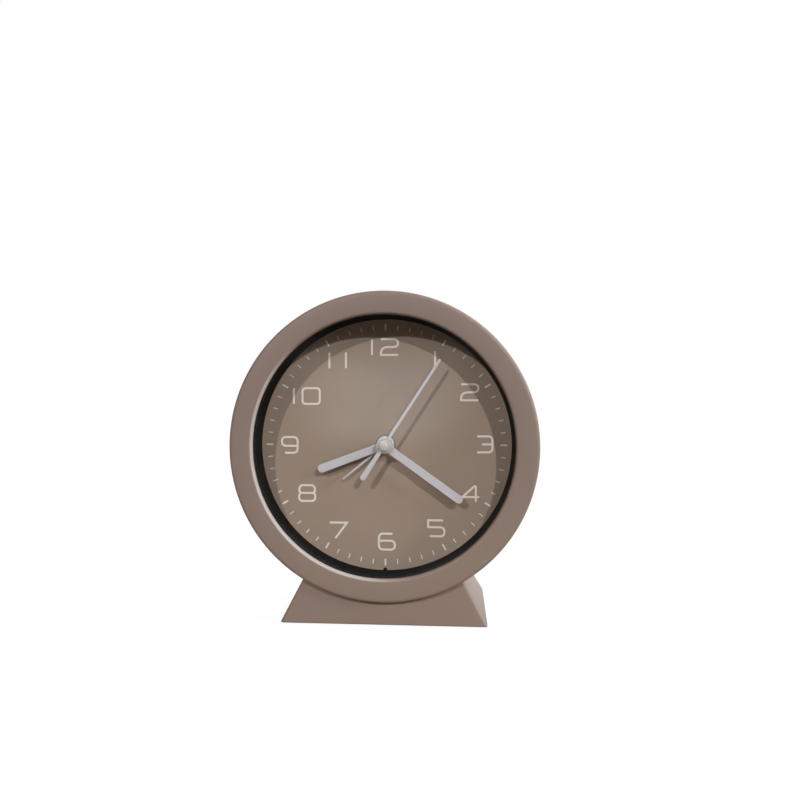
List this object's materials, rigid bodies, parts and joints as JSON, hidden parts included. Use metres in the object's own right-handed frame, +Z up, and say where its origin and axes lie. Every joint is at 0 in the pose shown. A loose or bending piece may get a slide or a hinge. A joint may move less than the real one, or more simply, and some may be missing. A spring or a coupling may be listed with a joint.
{
  "type": "tabletop alarm clock",
  "caption": "Round tabletop alarm clock on a wedge foot: bezel, lens, black inner ring, plain dial, hour, minute, second and alarm hands, quartz works, rear knobs, switch and battery door.",
  "frame": {"origin": "on the floor under the middle of the clock's bounding box", "axes": "+Z up, +X to the right as seen by a reader of the dial, +Y to the back, so the dial faces -Y"},
  "size_m": [0.148, 0.075, 0.16],
  "materials": {
    "case_plastic": "satin taupe moulded plastic",
    "lens_glass": "clear flat glass",
    "black_plastic": "satin black moulded plastic",
    "dial_plastic": "matte taupe with light printed numbers and marks",
    "pad_rubber": "matte",
    "screw_steel": "bright zinc plated",
    "hand_metal": "light grey lacquer",
    "cap_plastic": "off-white satin",
    "movement_plastic": "moulded",
    "wheel_plastic": "natural acetal",
    "wheel_brass": "bright",
    "rotor_magnet": "sintered magnet",
    "stator_iron": "stamped sheet",
    "coil_copper": "enamelled wire",
    "board_laminate": "solder mask",
    "battery_can": "plain printed sleeve"
  },
  "bodies": {
    "case": {"front_bezel": "case_plastic", "rear_housing": "case_plastic", "base_shell": "case_plastic", "lens": "lens_glass", "dial_ring": "black_plastic", "dial": "dial_plastic", "base_plate": "black_plastic", "foot_pad_1": "pad_rubber", "foot_pad_2": "pad_rubber", "foot_pad_3": "pad_rubber", "foot_pad_4": "pad_rubber", "housing_screw_1": "screw_steel", "housing_screw_2": "screw_steel", "housing_screw_3": "screw_steel", "housing_screw_4": "screw_steel", "base_screw_1": "screw_steel", "base_screw_2": "screw_steel", "plate_screw_1": "screw_steel", "plate_screw_2": "screw_steel", "movement_screw_1": "screw_steel", "movement_screw_2": "screw_steel", "movement_front_case": "movement_plastic", "movement_back_case": "movement_plastic", "train_bridge": "movement_plastic", "stator": "stator_iron", "coil": "coil_copper", "circuit_board": "board_laminate", "quartz_crystal": "screw_steel", "buzzer": "wheel_brass", "alarm_contact_spring": "wheel_brass", "battery": "battery_can", "contact_positive": "screw_steel", "contact_negative": "screw_steel"},
    "minutes": {"minute_hand": "hand_metal", "cannon_pinion": "wheel_brass", "centre_wheel": "wheel_brass"},
    "hours": {"hour_hand": "hand_metal", "hour_wheel": "wheel_plastic"},
    "seconds": {"second_hand": "hand_metal", "hand_cap": "cap_plastic", "second_wheel": "wheel_plastic"},
    "time_setting": {"minute_wheel": "wheel_plastic", "time_knob": "black_plastic"},
    "third": {"third_wheel": "wheel_plastic"},
    "intermediate": {"intermediate_wheel": "wheel_plastic"},
    "motor_rotor": {"rotor": "rotor_magnet"},
    "alarm_time": {"alarm_hand": "hand_metal", "alarm_wheel": "wheel_plastic"},
    "alarm_setting": {"alarm_pinion": "wheel_plastic", "alarm_knob": "black_plastic"},
    "switch": {"alarm_switch": "black_plastic"},
    "door": {"battery_door": "case_plastic"}
  },
  "joints": [
    {"name": "minute_hand_turn", "type": "hinge", "parent": "case", "child": "minutes", "pos_m": [0, -0.02, 0.086], "axis": [0, 1, 0], "continuous": true},
    {"name": "hour_hand_turn", "type": "hinge", "parent": "case", "child": "hours", "pos_m": [0, -0.02, 0.086], "axis": [0, 1, 0], "continuous": true},
    {"name": "second_hand_turn", "type": "hinge", "parent": "case", "child": "seconds", "pos_m": [0, -0.02, 0.086], "axis": [0, 1, 0], "continuous": true},
    {"name": "time_knob_turn", "type": "hinge", "parent": "case", "child": "time_setting", "pos_m": [0.0132, -0.01, 0.086], "axis": [0, 1, 0], "continuous": true},
    {"name": "third_wheel_turn", "type": "hinge", "parent": "case", "child": "third", "pos_m": [0, -0.01, 0.09824], "axis": [0, 1, 0], "continuous": true},
    {"name": "intermediate_wheel_turn", "type": "hinge", "parent": "case", "child": "intermediate", "pos_m": [-0.00679, -0.005, 0.07921], "axis": [0, 1, 0], "continuous": true},
    {"name": "rotor_turn", "type": "hinge", "parent": "case", "child": "motor_rotor", "pos_m": [-0.01468, -0.003, 0.07634], "axis": [0, 1, 0], "continuous": true},
    {"name": "alarm_hand_turn", "type": "hinge", "parent": "case", "child": "alarm_time", "pos_m": [0, -0.02, 0.086], "axis": [0, 1, 0], "continuous": true},
    {"name": "alarm_knob_turn", "type": "hinge", "parent": "case", "child": "alarm_setting", "pos_m": [-0.0132, -0.01, 0.086], "axis": [0, 1, 0], "continuous": true},
    {"name": "alarm_switch_slide", "type": "slide", "parent": "case", "child": "switch", "axis": [1, 0, 0], "range_m": [0, 0.005]},
    {"name": "battery_door_pull", "type": "slide", "parent": "case", "child": "door", "axis": [0, 1, 0], "range_m": [0, 0.03]}
  ],
  "couplings": [
    {"joint": "hour_hand_turn", "follows": "minute_hand_turn", "ratio": 0.083333},
    {"joint": "second_hand_turn", "follows": "minute_hand_turn", "ratio": 60},
    {"joint": "time_knob_turn", "follows": "minute_hand_turn", "ratio": -0.33333},
    {"joint": "third_wheel_turn", "follows": "minute_hand_turn", "ratio": -8},
    {"joint": "intermediate_wheel_turn", "follows": "minute_hand_turn", "ratio": -300},
    {"joint": "rotor_turn", "follows": "minute_hand_turn", "ratio": 1800},
    {"joint": "alarm_knob_turn", "follows": "alarm_hand_turn", "ratio": -3}
  ]
}
